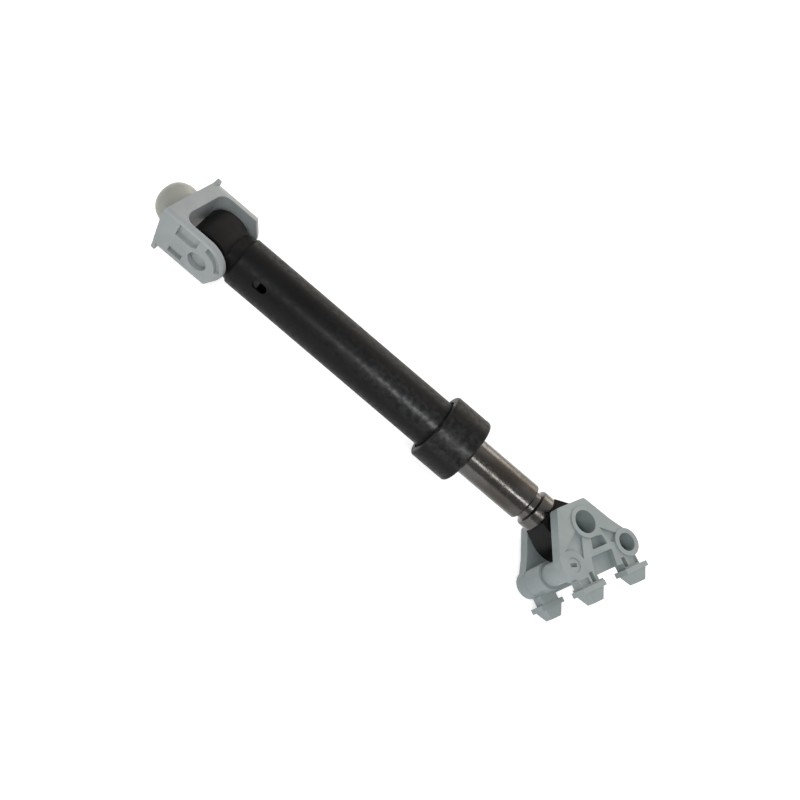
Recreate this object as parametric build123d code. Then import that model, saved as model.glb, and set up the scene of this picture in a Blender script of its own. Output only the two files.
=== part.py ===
from build123d import *
import math
import os

# Friction damper of a washing machine, lying on its side.
# X runs along the damper from the upper clevis to the foot bracket, Z is up and is the
# foot bracket's pivot axis, Y is the upper pivot axis. The origin is the seat of the tub plug.
# All sizes are in millimetres and all angles in degrees.

# Places of the pivots
pivot_setback = 20.0
pivot_spacing = 210.0
foot_swing = 31.0

# Points along each rounded stretch of a turned outline
arc_steps = 8

# Clearances
running_gap = 0.05
seat_gap = 0.02
side_gap = 0.5
rest_gap = 0.1
snap_gap = 0.3

# Upper clevis, whose seat leans a little to the pivot's axis and to the damper's
seat_turn = 11.0
seat_tip = 5.0
clevis_width = 34.6
arm_end_d = 25.8
arm_heel_angle = 31.8
arm_t = 4.5
arm_round = 4.2
arm_boss_d = 15.0
bridge_t = 6.0
fork_round = 5.0
pocket_depth = 2.0
rim_w = 1.3
pocket_start = 5.5
upper_pocket_end = 17.0
upper_pocket_z = 5.3
lower_pocket_end = 13.0
lower_pocket_top = 4.0
lower_pocket_low = 7.6
end_groove_w = 2.4
end_groove_rib = 1.6
ear_t = 1.8
ear = [(10.0, 10.0), (14.2, 13.2), (16.4, 14.4), (17.6, 13.4), (17.3, 8.0)]

# Tub plug
plug_d = 21.6
plug_skirt = 4.0
plug_dome = 9.6
plug_flat_d = 7.0
shank_d = 10.0
shank_l = 4.4

# Upper pivot
pin_d = 10.0
pin_recess = 2.6
pin_chamfer = 0.6
bush_wall = 3.0

# Cylinder tube, its places counted from the upper pivot
guide_wall = 0.83
tube_wall = 2.0
eye_d = 23.0
eye_width = 19.0
eye_edge = 1.2
eye_neck_h = 16.0
shoulder_x = 13.4
shoulder_edge = 1.0
tube_floor_x = 18.0
mouth_x = 136.2
mouth_flange_l = 1.8
vent_x = 29.0
vent_l = 7.6
vent_w = 4.0
vent_angle = 147.4

# Bump stop in the closed end of the tube
stop_l = 10.0
stop_bore_d = 8.0

# Friction collar
lining_t = 3.88
collar_wall = 2.75
collar_edge = 1.3
collar_lip_l = 3.0
lip_recess_l = 1.0
lip_recess = 1.1
seam_angle = 150.8
seam_w = 0.9
seam_proud = 0.25
seam_end = 2.4
washer_t = 1.5
lining_l = 9.2
sleeve_wall = 0.8
sleeve_split = 1.5
cap_t = 2.95
cap_nose_wall = 1.9
cap_nose_l = 1.1
guide_l = 16.0

# Plunger rod
rod_d = 19.2
rod_wall = 1.2
rod_l = 131.3
neck_edge = 0.9
neck_slant = 0.3
neck_flat_l = 2.9
neck_depth = 2.2
bead_flat_l = 4.3
tip_cone_l = 0.8
tip_shy = 0.8
neck_wall = 1.4
neck_bore_l = 10.6
neck_cone_l = 1.6
rod_tip_back = 13.2

# Guide piston on the inner end of the rod
piston_t = 5.0
spigot_l = 10.0
spigot_bead = 0.35
bead_at = 4.0
bead_l = 2.0
groove_depth = 0.5

# Rod end
rod_shank_l = 8.0
end_eye_d = 24.0
end_eye_width = 16.0
tang_root_w = 15.6
tang_root_h = 12.6
tang_slope = 21.1
eye_rim_edge = 0.8

# Foot bracket, two like halves that meet at the pivot's middle plane
bracket_width = 35.5
plate_gap = 23.9
ring_proud = 0.55
stub_d = 13.4
stub_collar_d = 17.0
stub_bore_d = 11.0
stub_floor = 1.8
ring_d = 15.2
socket_x = 17.2
socket_drop = 15.35
socket_tube_d = 10.6
pin_tube_d = 13.0
boss_d = 13.2
core_d = 8.6
core_floor = 3.6
lock_pin_d = 6.7
key_l = 3.5
key_w = 1.7
key_depth = 1.5
key_turn = 15.0
foot_x = 14.0
foot_in = 2.45
leg_w = 9.3
leg_drop = 26.0
leg_t = 5.7
hook_w = 14.0
hook_t = 8.0
hook_h = 2.4
taper_w = 10.4
taper_t = 7.4
tip_w = 6.0
tip_t = 4.4
taper_h = 5.0
sole_drop = 23.2
pocket_floor = 3.7
bar_drop = 15.2
bar_w = 2.7
recess_floor = 1.2
crown_round = 1.2

# Corners of the foot plate's front, from the pivot
crown_left = (-11.4, 10.1)
crown_right = (6.2, 10.3)
brow = (14.9, -3.1)
flank = (socket_x + 3.4, 5.2 - socket_drop)
cheek = (-socket_x - 6.1, 4.2 - socket_drop)
pocket_left = (-1.2, -7.4)
pocket_right = (5.7, -7.9)
pocket_low_right = 6.4
pocket_low_left = -3.2
window_left = -6.0
window_right = 7.3
window_low_right = 5.6
window_low_left = -9.0
ridge_top = (-5.4, -5.0)
ridge_low = (-10.8, 0.2 - socket_drop)
step_top = (-6.5, -1.4)
step_low = (1.5 + cheek[0], 0.3 + cheek[1])
step_end = (-14.0, -0.6 - socket_drop)
valley = [(6.5, -4.6), (15.6, -10.6), (12.2, -13.5), (9.0, -12.6), (7.4, -8.0)]

# Small recesses in the front of the legs, from the leg's middle and the pivot's height
leg_slot_w = 2.2
leg_slot_shift = 3.3
leg_slot_top = 20.8
leg_slot_low = 25.2
leg_slot_depth = 2.2
leg_dish_w = 5.0
leg_dish_top = 22.4
leg_dish_depth = 0.8

# Places worked out from the sizes above
upper_x = pivot_setback
lower_x = upper_x + pivot_spacing
rod_r = rod_d / 2
bore_r = rod_r + running_gap + guide_wall + seat_gap
tube_r = bore_r + tube_wall
mouth = upper_x + mouth_x
collar_start = mouth - mouth_flange_l - rest_gap - collar_lip_l
collar_end = mouth + rest_gap / 2 + 2 * washer_t + lining_l + cap_t + rest_gap
chamber_r = rod_r + running_gap + lining_t + seat_gap + sleeve_wall + rest_gap
collar_r = chamber_r + collar_wall
neck_r = rod_r - neck_depth
neck_bore_r = neck_r - neck_wall
rod_tip = lower_x - rod_tip_back
rod_root = rod_tip - rod_l
neck_l = 2 * (neck_edge + neck_slant) + neck_flat_l + bead_flat_l + tip_cone_l
pin_r = pin_d / 2
bush_r = pin_r + running_gap + bush_wall
face_z = bracket_width / 2 - ring_proud
boss_z = bracket_width / 2
inner_z = plate_gap / 2


def lathe(points):
    """A solid turned about the X axis from points (x, radius)."""
    outline = make_face(Plane.XY * Polyline([(x, r, 0) for x, r in points], close=True))
    return revolve(outline, Axis.X)


def rounding(start, end, along_first):
    """Points (x, radius) of a quarter ellipse from start to end."""
    (x0, r0), (x1, r1) = start, end
    points = []
    for i in range(arc_steps + 1):
        turn = math.radians(90 * i / arc_steps)
        slow, fast = 1 - math.cos(turn), math.sin(turn)
        share_x, share_r = (fast, slow) if along_first else (slow, fast)
        points.append((x0 + (x1 - x0) * share_x, r0 + (r1 - r0) * share_r))
    return points


def ring(x0, x1, outer_r, inner_r):
    """A plain ring about the X axis."""
    return lathe([(x0, inner_r), (x1, inner_r), (x1, outer_r), (x0, outer_r)])


def round_bar(x0, x1, radius):
    """A solid round bar about the X axis."""
    return lathe([(x0, 0), (x1, 0), (x1, radius), (x0, radius)])


def cross_cylinder(x, radius, width):
    """A cylinder about the upper pivot's direction, centred on the damper's axis."""
    return Pos(x, 0, 0) * Rot(90, 0, 0) * Cylinder(radius, width)


def block(x0, x1, y0, y1, z0, z1):
    """A box between two corners."""
    middle = Pos((x0 + x1) / 2, (y0 + y1) / 2, (z0 + z1) / 2)
    return middle * Box(x1 - x0, y1 - y0, z1 - z0)


def on_seat(shape):
    """Leans a shape with the tub plug's seat, about the origin."""
    return Rot(0, 0, -seat_turn) * Rot(0, -seat_tip, 0) * shape


def arm_outline(inset):
    """The side view of the clevis behind and round its pivot, on the XZ plane, with a heel below."""
    radius = arm_end_d / 2 - inset
    back = upper_x - clevis_width
    straight = Pos((upper_x + back) / 2, 0) * Rectangle(upper_x - back, 2 * radius)
    angle = math.radians(arm_heel_angle)
    corner = (upper_x + radius * math.tan(angle), -radius)
    touch = (upper_x + radius * math.sin(2 * angle), -radius * math.cos(2 * angle))
    heel = make_face(Polyline([(upper_x, 0), (upper_x, -radius), corner, touch], close=True))
    return straight + Pos(upper_x, 0) * Circle(radius) + heel


def strip(x0, x1, z0, z1):
    """A rectangle on the XZ plane between two corners."""
    return Pos((x0 + x1) / 2, (z0 + z1) / 2) * Rectangle(x1 - x0, z1 - z0)


def arm_pockets():
    """The recesses round the boss on the outer face of an arm, on the XZ plane."""
    high = arm_end_d / 2
    boss = Pos(upper_x, 0) * Circle(arm_boss_d / 2)
    upper = arm_outline(rim_w) & strip(pocket_start, upper_pocket_end, upper_pocket_z, high)
    lower = strip(pocket_start, lower_pocket_end, -lower_pocket_low, -lower_pocket_top)
    groove = Pos(upper_x, 0) * Circle(high - rim_w) - Pos(upper_x, 0) * Circle(high - rim_w - end_groove_w)
    groove &= strip(upper_x + end_groove_rib, upper_x + high, end_groove_rib, high)
    return upper + lower + groove - boss


def fork_gap():
    """The space between the arms, with a floor along the seat and round corners."""
    inner = clevis_width / 2 - arm_t
    lean = math.tan(math.radians(seat_turn))
    floor = bridge_t / math.cos(math.radians(seat_turn))
    reach = upper_x + arm_end_d
    corners = [(floor - lean * inner, -inner), (floor + lean * inner, inner), (reach, inner), (reach, -inner)]
    gap = make_face(Polyline(corners, close=True))
    gap = fillet(gap.vertices().sort_by(Axis.X)[:2], fork_round)
    return extrude(gap, arm_end_d, both=True)


def clevis_side():
    """The half of the clevis towards -Y before the fork is cut, with its recesses."""
    half_w = clevis_width / 2
    # On this plane the sketch's second direction is Z and its normal is -Y
    side = extrude(Plane.XZ * arm_outline(0), half_w)
    side = fillet(side.faces().sort_by(Axis.Y)[0].edges(), arm_round)
    floor = Plane(origin=(0, -half_w, 0), x_dir=(1, 0, 0), z_dir=(0, -1, 0))
    return side - extrude(floor * arm_pockets(), -pocket_depth)


def upper_clevis():
    """Fork with a leaning seat, two like arms, two ears and a socket for the plug's shank."""
    side = clevis_side()
    body = side + Rot(180, 0, 0) * side
    body -= fork_gap()
    body += cross_cylinder(upper_x, arm_boss_d / 2, clevis_width - arm_t)
    body -= cross_cylinder(upper_x, arm_end_d / 2, eye_width + 2 * side_gap)
    corner = extrude(Plane.YZ * make_face(Polyline(ear, close=True)), ear_t)
    body += on_seat(corner) + on_seat(Rot(180, 0, 0) * corner)
    body -= on_seat(block(-clevis_width, 0, -clevis_width, clevis_width, -clevis_width, clevis_width))
    body -= cross_cylinder(upper_x, pin_r + seat_gap, 2 * clevis_width)
    return body - on_seat(round_bar(0, shank_l + rest_gap, shank_d / 2 + seat_gap))


def tub_plug():
    """Domed plug with a shank that seats in the clevis."""
    r = plug_d / 2
    shank = [(shank_l, 0), (shank_l, shank_d / 2), (0, shank_d / 2), (0, r)]
    end = -plug_skirt - plug_dome
    dome = rounding((-plug_skirt, r), (end, plug_flat_d / 2), True)
    return on_seat(lathe(shank + dome + [(end, 0)]))


def upper_pivot_pin():
    """Pin through both arms, a little short of their outer faces."""
    pin = cross_cylinder(upper_x, pin_r, clevis_width - 2 * pin_recess)
    return chamfer(pin.edges().filter_by(GeomType.CIRCLE), pin_chamfer)


def upper_eye_bush():
    """Bush pressed into the tube's eye."""
    bush = cross_cylinder(upper_x, bush_r, eye_width)
    return bush - cross_cylinder(upper_x, pin_r + running_gap, 2 * eye_width)


def outer_tube():
    """Tube closed at its eye, with a vent slot and a flange at its mouth."""
    shoulder = upper_x + shoulder_x
    barrel = round_bar(shoulder, mouth, tube_r)
    barrel = fillet(barrel.edges().group_by(Axis.X)[0], shoulder_edge)
    flange = round_bar(mouth - mouth_flange_l, mouth, chamber_r - rest_gap)
    eye = chamfer(cross_cylinder(upper_x, eye_d / 2, eye_width).edges().filter_by(GeomType.CIRCLE), eye_edge)
    neck_end = shoulder + shoulder_edge
    neck = block(upper_x, neck_end, -eye_width / 2, eye_width / 2, -eye_neck_h / 2, eye_neck_h / 2)
    body = barrel + flange + eye + neck
    body -= round_bar(upper_x + tube_floor_x, mouth, bore_r)
    body -= cross_cylinder(upper_x, bush_r + seat_gap, 2 * eye_width)
    slot = extrude(SlotOverall(vent_l, vent_w), 2 * tube_wall, both=True)
    turned = Rot(vent_angle - 90, 0, 0) * Pos(upper_x + vent_x, 0, tube_r) * slot
    return body - turned


def bump_stop():
    """Rubber ring against the closed end of the tube."""
    start = upper_x + tube_floor_x
    return ring(start, start + stop_l, bore_r - rest_gap, stop_bore_d / 2)


def guide_bush():
    """Thin sleeve in the mouth of the tube that guides the rod."""
    return ring(mouth - guide_l, mouth, bore_r - seat_gap, rod_r + running_gap)


def collar_housing():
    """Collar over the tube's mouth, with a lip behind the flange and two seam lines."""
    start = collar_start
    seat = start + collar_lip_l
    shell = round_bar(start, collar_end, collar_r)
    shell = fillet(shell.edges().filter_by(GeomType.CIRCLE), collar_edge)
    for turn in (seam_angle, seam_angle + 180):
        seam = block(start + seam_end, collar_end - seam_end, 0, collar_r + seam_proud,
                     -seam_w / 2, seam_w / 2)
        shell += Rot(turn, 0, 0) * seam
    shell -= round_bar(start, collar_end, tube_r + running_gap)
    shell -= round_bar(start, start + lip_recess_l, tube_r + lip_recess)
    return shell - round_bar(seat, collar_end, chamber_r)


def stack_x(item):
    """Where each item of the friction stack starts, counted from the tube's mouth."""
    return mouth + rest_gap / 2 + (0, washer_t, washer_t + lining_l, 2 * washer_t + lining_l)[item]


def lining_washer(item):
    """Washer at one end of the lining."""
    start = stack_x(item)
    return ring(start, start + washer_t - rest_gap / 2, chamber_r - rest_gap, rod_r + running_gap)


def lining_sleeve():
    """Split sleeve that holds the lining."""
    outer = chamber_r - rest_gap
    start = stack_x(1)
    end = stack_x(2) - rest_gap / 2
    sleeve = ring(start, end, outer, outer - sleeve_wall)
    half = sleeve_split / 2
    return sleeve - block(start, end, 0, 2 * outer, -half, half)


def friction_lining():
    """Greased foam lining that grips the rod."""
    outer = chamber_r - rest_gap - sleeve_wall - seat_gap
    return ring(stack_x(1), stack_x(2) - rest_gap / 2, outer, rod_r + running_gap)


def collar_end_cap():
    """Cap that closes the collar, with a short nose round the rod."""
    start = stack_x(3)
    inner = rod_r + 2 * running_gap
    outer = chamber_r - seat_gap
    nose = inner + cap_nose_wall
    end = collar_end - rest_gap
    points = [(start, inner), (end + cap_nose_l, inner), (end + cap_nose_l, nose)]
    return lathe(points + [(end, nose), (end, outer), (start, outer)])


def plunger_rod():
    """Steel tube with a rolled neck and bead at its outer end."""
    neck = rod_tip - neck_l
    inner = rod_r - rod_wall
    groove_x = rod_root + bead_at - snap_gap
    groove_end = groove_x + bead_l + 2 * snap_gap
    flat = neck + neck_edge + neck_slant
    rise = flat + neck_flat_l
    bead = rise + neck_slant + neck_edge
    low = rod_r - neck_edge
    outside = [(rod_root, rod_r)] + rounding((neck, rod_r), (neck + neck_edge, low), True)
    outside += [(flat, neck_r), (rise, neck_r)]
    outside += rounding((bead - neck_edge, low), (bead, rod_r), False)
    outside += rounding((bead + bead_flat_l, rod_r), (rod_tip, rod_r - tip_shy), True)
    bore_x = rod_tip - neck_bore_l
    inside = [(rod_tip, neck_bore_r), (bore_x, neck_bore_r), (bore_x - neck_cone_l, inner)]
    inside += [(groove_end, inner), (groove_end, inner + groove_depth)]
    inside += [(groove_x, inner + groove_depth), (groove_x, inner), (rod_root, inner)]
    return lathe(outside + inside)


def guide_piston():
    """Piston with a spigot that snaps into the inner end of the rod."""
    face = rod_root - snap_gap
    spigot_r = rod_r - rod_wall - running_gap
    bead = rod_root + bead_at
    points = [(face - piston_t, 0), (face - piston_t, bore_r - running_gap)]
    points += [(face, bore_r - running_gap), (face, spigot_r), (bead, spigot_r)]
    points += [(bead, spigot_r + spigot_bead), (bead + bead_l, spigot_r + spigot_bead)]
    points += [(bead + bead_l, spigot_r), (rod_root + spigot_l, spigot_r), (rod_root + spigot_l, 0)]
    return lathe(points)


def rod_end():
    """Plastic end with a shank in the rod, a wedge and an eye on the foot's stubs."""
    shank = round_bar(rod_tip - rod_shank_l, rod_tip + rest_gap, neck_bore_r - seat_gap)
    root = Plane(origin=(rod_tip + rest_gap, 0, 0), x_dir=(0, 1, 0), z_dir=(1, 0, 0))
    slope = math.radians(tang_slope)
    waist_w = end_eye_d * math.cos(slope)
    waist_x = lower_x - end_eye_d / 2 * math.sin(slope)
    waist = Plane(origin=(waist_x, 0, 0), x_dir=(0, 1, 0), z_dir=(1, 0, 0))
    tang = loft([root * Rectangle(tang_root_w, tang_root_h), waist * Rectangle(waist_w, end_eye_width)])
    eye = Pos(lower_x, 0, 0) * Cylinder(end_eye_d / 2, end_eye_width)
    eye = fillet(eye.edges().filter_by(GeomType.CIRCLE), eye_rim_edge)
    bore = Pos(lower_x, 0, 0) * Cylinder(stub_d / 2 + running_gap, 2 * end_eye_width)
    return shank + (tang + eye - bore)


def foot_sketch():
    """The plate of the foot bracket seen from its front, with the pivot at the centre."""
    leg_in = foot_x - leg_w / 2
    corners = [crown_left, crown_right, brow, flank, (socket_x, -socket_drop)]
    corners += [(leg_in, -socket_drop), (leg_in, -sole_drop), (-leg_in, -sole_drop)]
    corners += [(-leg_in, -socket_drop), (-socket_x, -socket_drop)]
    corners += [(-boss_d / 2 - socket_x, -socket_drop), cheek]
    plate = make_face(Polyline(corners, close=True))
    plate = fillet(plate.vertices().group_by(Axis.Y)[-1], crown_round)
    for x in (-socket_x, socket_x):
        plate += Pos(x, -socket_drop) * Circle(boss_d / 2)
    return plate


def foot_pockets():
    """The deep pocket above the cross bar and the recess below it."""
    low = bar_w - bar_drop
    under = -sole_drop - boss_d
    upper = [pocket_left, pocket_right, (pocket_low_right, low), (pocket_low_left, low)]
    window = [(window_left, -bar_drop), (window_right, -bar_drop)]
    window += [(window_low_right, -sole_drop), (window_low_right, under)]
    window += [(window_low_left, under), (window_low_left, -sole_drop)]
    cuts = make_face(Polyline(upper, close=True)) + make_face(Polyline(window, close=True))
    return cuts - Circle(ring_d / 2)


def foot_recesses():
    """The shallow recesses beside the ridge and towards the right boss."""
    left = make_face(Polyline([step_top, step_low, step_end, ridge_low, ridge_top], close=True))
    right = make_face(Polyline(valley, close=True))
    bosses = Pos(-socket_x, -socket_drop) * Circle(boss_d / 2)
    bosses += Pos(socket_x, -socket_drop) * Circle(boss_d / 2)
    return left + right - Circle(ring_d / 2) - bosses


def column(x, y, radius, z0, z1):
    """A round column of the foot bracket."""
    return Pos(x, y, (z0 + z1) / 2) * Cylinder(radius, z1 - z0)


def snap_foot(x):
    """A leg with a hooked flange and a tapered tip."""
    z = boss_z - foot_in
    leg = block(x - leg_w / 2, x + leg_w / 2, -leg_drop, -socket_drop, face_z - leg_t, face_z)
    hook = block(x - hook_w / 2, x + hook_w / 2, -leg_drop - hook_h, -leg_drop,
                 z - hook_t / 2, z + hook_t / 2)
    top = Plane(origin=(x, -leg_drop - hook_h, z), x_dir=(1, 0, 0), z_dir=(0, -1, 0))
    tip = Plane(origin=(x, -leg_drop - hook_h - taper_h, z), x_dir=(1, 0, 0), z_dir=(0, -1, 0))
    taper = loft([top * Rectangle(taper_w, taper_t), tip * Rectangle(tip_w, tip_t)])
    return leg + hook + taper


def leg_slots():
    """A narrow slot and a shallow dish in the front of each leg."""
    slots = Part()
    for x in (-foot_x, foot_x):
        inward = -math.copysign(leg_slot_shift, x)
        middle = x - inward / 2
        slots += block(x + inward - leg_slot_w / 2, x + inward + leg_slot_w / 2,
                       -leg_slot_low, -leg_slot_top, face_z - leg_slot_depth, face_z)
        slots += block(middle - leg_dish_w / 2, middle + leg_dish_w / 2,
                       -leg_slot_low, -leg_dish_top, face_z - leg_dish_depth, face_z)
    return slots


def lock_pin():
    """Pin of a half that fills the other half's socket tube, with a key slot in its end."""
    end = snap_gap - face_z
    pin = column(socket_x, -socket_drop, lock_pin_d / 2, end, core_floor)
    slot = Rot(0, 0, key_turn) * Box(key_l, key_w, key_depth)
    return pin - Pos(socket_x, -socket_drop, end + key_depth / 2) * slot


def foot_half():
    """One half of the foot bracket, with its outer face towards +Z."""
    body = extrude(Pos(0, 0, inner_z) * foot_sketch(), face_z - inner_z)
    body -= extrude(Pos(0, 0, face_z - pocket_floor) * foot_pockets(), pocket_floor)
    body -= extrude(Pos(0, 0, face_z - recess_floor) * foot_recesses(), recess_floor)
    body += snap_foot(-foot_x) + snap_foot(foot_x)
    body -= leg_slots()
    body += column(0, 0, ring_d / 2, inner_z, boss_z)
    body += column(0, 0, stub_d / 2, rest_gap, inner_z)
    body += column(0, 0, stub_collar_d / 2, end_eye_width / 2 + snap_gap, inner_z)
    body -= column(0, 0, stub_bore_d / 2, rest_gap + stub_floor, boss_z)
    body += column(-socket_x, -socket_drop, boss_d / 2, inner_z, face_z)
    body += column(socket_x, -socket_drop, boss_d / 2, inner_z, boss_z)
    body += column(-socket_x, -socket_drop, socket_tube_d / 2, rest_gap, inner_z)
    body += column(socket_x, -socket_drop, pin_tube_d / 2, rest_gap, inner_z)
    body -= column(-socket_x, -socket_drop, lock_pin_d / 2 + running_gap, 0, boss_z)
    body -= column(socket_x, -socket_drop, core_d / 2, core_floor, boss_z)
    return body + lock_pin()


def place_foot(half, turned):
    """Puts a half on the lower pivot, swung by the resting angle."""
    swing = math.radians(foot_swing)
    seat = Plane(origin=(lower_x, 0, 0), x_dir=(math.sin(swing), math.cos(swing), 0), z_dir=(0, 0, 1))
    if turned:
        half = Rot(0, 180, 0) * half
    return seat * half


def build_all():
    """Every piece of the damper, by name."""
    half = foot_half()
    return {
        "upper_clevis": upper_clevis(),
        "tub_plug": tub_plug(),
        "upper_pivot_pin": upper_pivot_pin(),
        "upper_eye_bush": upper_eye_bush(),
        "outer_tube": outer_tube(),
        "bump_stop": bump_stop(),
        "guide_bush": guide_bush(),
        "collar_housing": collar_housing(),
        "lining_washer_inner": lining_washer(0),
        "lining_sleeve": lining_sleeve(),
        "friction_lining": friction_lining(),
        "lining_washer_outer": lining_washer(2),
        "collar_end_cap": collar_end_cap(),
        "plunger_rod": plunger_rod(),
        "guide_piston": guide_piston(),
        "rod_end": rod_end(),
        "foot_bracket_front": place_foot(half, False),
        "foot_bracket_rear": place_foot(half, True),
    }


os.makedirs("parts", exist_ok=True)
for name, solid in build_all().items():
    export_step(solid, f"parts/{name}.step")
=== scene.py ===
import math
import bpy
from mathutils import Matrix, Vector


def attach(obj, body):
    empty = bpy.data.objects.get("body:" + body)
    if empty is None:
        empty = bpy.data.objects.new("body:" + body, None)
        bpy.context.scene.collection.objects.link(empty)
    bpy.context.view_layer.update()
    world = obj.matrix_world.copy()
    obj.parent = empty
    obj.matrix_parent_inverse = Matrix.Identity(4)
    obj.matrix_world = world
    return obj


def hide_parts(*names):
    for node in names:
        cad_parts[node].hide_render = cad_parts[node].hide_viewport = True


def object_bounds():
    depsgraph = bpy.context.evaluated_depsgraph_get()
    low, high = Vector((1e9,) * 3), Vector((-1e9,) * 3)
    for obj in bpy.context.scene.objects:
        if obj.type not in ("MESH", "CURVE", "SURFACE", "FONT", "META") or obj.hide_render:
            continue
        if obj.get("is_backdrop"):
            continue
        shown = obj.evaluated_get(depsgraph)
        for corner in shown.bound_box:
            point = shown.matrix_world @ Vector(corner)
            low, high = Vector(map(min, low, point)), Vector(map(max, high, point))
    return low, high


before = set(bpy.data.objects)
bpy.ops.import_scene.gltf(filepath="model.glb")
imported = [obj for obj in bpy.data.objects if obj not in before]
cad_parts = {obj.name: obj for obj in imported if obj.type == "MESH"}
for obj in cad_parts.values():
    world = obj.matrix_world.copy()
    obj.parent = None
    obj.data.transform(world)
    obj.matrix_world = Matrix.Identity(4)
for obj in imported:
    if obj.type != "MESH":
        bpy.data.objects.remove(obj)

from types import SimpleNamespace

import bmesh
import bpy
from bpy.props import FloatProperty, FloatVectorProperty, PointerProperty
from mathutils import Matrix, Vector

bl_info = {
    "name": "Washing Machine Damper",
    "version": (1, 0, 0),
    "blender": (4, 5, 0),
    "location": "3D View > Sidebar > Damper",
    "description": "Builds the visual model of a friction damper from a washing machine",
    "category": "Object",
}

MM = 0.001

# Places along the damper in millimetres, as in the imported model
UPPER_X = 20.0
LOWER_X = 230.0
MOUTH_X = 156.2

# The angle from which an edge counts as sharp, and the one up to which faces count as flat
SHARP = math.radians(32)
FLAT = math.radians(0.5)

# In millimetres: the distance up to which corners are one, how far cutting tools reach past the face
# that they cut, how far joined shapes run into each other, and the gaps of fits
MERGE = 1e-4
OVER = 2.0
OVERLAP = 1.0
SLIDING_FIT = 0.05
CLOSE_FIT = 0.02
END_GAP = 0.1

# The power of sine and cosine that makes a round outline square, where 1 leaves it round
SQUARE = 0.25

# Where the glossy coat on the black plastic fades in along X, Y and Z, in metres: grease that grows towards
# the collar, plus a painted sheen kept to the upper side towards -Y where the key light's highlight falls
GREASE_AND_SHEEN_X = (0.06, 0.15)
PAINTED_SHEEN_Y = (0.001, -0.006)
PAINTED_SHEEN_Z = (0.003, 0.009)

WHITE = (1.0, 1.0, 1.0, 1.0)

# Where the camera stands, in metres, and its directions
CAMERA_PLACE = (0.0798, -0.2791, 0.3520)
CAMERA_RIGHT = Vector((0.7619, 0.5126, 0.3960))
CAMERA_DOWN = Vector((0.6470, -0.6305, -0.4288))
CAMERA_AHEAD = Vector((0.0298, 0.5829, -0.8120))
CAMERA_SHIFT = (0.1137, -0.0264)
CAMERA_SENSOR = 36.0
CAMERA_START = 0.01

# Half the floor's side, and the lamps with the point they face, in metres
FLOOR_HALF = 6.0
LAMP_TARGET = (0.13, 0.0, 0.0)
KEY_PLACE = (0.16, -0.68, 0.74)
KEY_SIZE = (1.1, 0.17)
KEY_TINT = (0.96, 0.98, 1.0)
BACK_PLACE = (0.15, 0.85, 0.34)
BACK_SIZE = (1.0, 0.4)
BACK_TINT = (1.0, 0.91, 0.82)


def length(name, description, value):
    """A length property, given in millimetres."""
    return FloatProperty(name=name, description=description, default=value * MM, unit="LENGTH", precision=5)


def angle(name, description, value):
    """An angle property, given in degrees."""
    return FloatProperty(name=name, description=description, default=math.radians(value), subtype="ANGLE")


def colour(name, description, value):
    """A colour property, given as it looks on a screen, from 0 to 255."""
    linear = tuple(screen_to_linear(channel) for channel in value)
    return FloatVectorProperty(name=name, description=description, default=linear, size=3,
                               min=0.0, max=1.0, subtype="COLOR")


def screen_to_linear(channel):
    """One colour channel from 0 to 255 as a linear value from 0 to 1."""
    c = channel / 255
    return c / 12.92 if c <= 0.04045 else ((c + 0.055) / 1.055) ** 2.4


class ClevisSizes(bpy.types.PropertyGroup):
    seat_turn: angle("Seat turn", "Lean of the seat to the pivot's axis", 11.0)
    seat_tip: angle("Seat tip", "Lean of the seat up or down", 5.0)
    width: length("Width", "Distance over the outer faces of the arms", 34.6)
    arm_end: length("Arm end", "Diameter of the round end of an arm", 25.8)
    heel: angle("Heel", "Turn from the arm's straight edge to the corner of its heel", 31.8)
    arm: length("Arm", "Thickness of an arm", 4.5)
    arm_round: length("Arm rounding", "Rounding of the outer edges of the arms", 4.2)
    bridge: length("Bridge", "Thickness of the bridge between the arms", 6.0)
    fork_round: length("Fork rounding", "Radius in the corners of the fork's floor", 5.0)
    eye_gap: length("Eye gap", "Distance between the inner bosses", 20.0)
    boss: length("Boss", "Diameter of the boss round the pivot hole", 15.0)
    hole: length("Hole", "Diameter of the pivot hole", 10.04)
    rim: length("Rim", "Width of the rim round the outer face of an arm", 1.3)
    pocket: length("Pocket depth", "Depth of the recesses in the outer faces", 2.0)
    pocket_start: length("Pocket start", "Where the recesses start from the seat", 5.5)
    upper_end: length("Upper pocket end", "Where the upper recess ends", 17.0)
    upper_low: length("Upper pocket height", "Height of the upper recess's lower side", 5.3)
    lower_end: length("Lower pocket end", "Where the lower recess ends", 13.0)
    lower_top: length("Lower pocket top", "Depth of the lower recess's upper side", 4.0)
    lower_low: length("Lower pocket bottom", "Depth of the lower recess's lower side", 7.6)
    groove: length("End groove", "Width of the groove round the boss", 2.4)
    groove_rib: length("Groove rib", "Half the rib that ends the groove", 1.6)
    ear: length("Ear", "Thickness of the two corner ears", 1.8)
    edge: length("Edge", "Rounding of the moulded edges", 0.4)
    plug: length("Plug", "Diameter of the domed plug", 21.6)
    plug_skirt: length("Plug skirt", "Height of the plug's straight part", 4.0)
    plug_dome: length("Plug dome", "Height of the plug's dome", 9.6)
    plug_flat: length("Plug flat", "Diameter of the flat top of the dome", 7.0)
    shank: length("Shank", "Diameter of the plug's shank", 10.0)
    shank_length: length("Shank length", "Length of the plug's shank", 4.4)
    pin: length("Pin", "Diameter of the pivot pin", 10.0)
    pin_recess: length("Pin recess", "How far the pin's ends lie inside the arms", 2.6)


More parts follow.
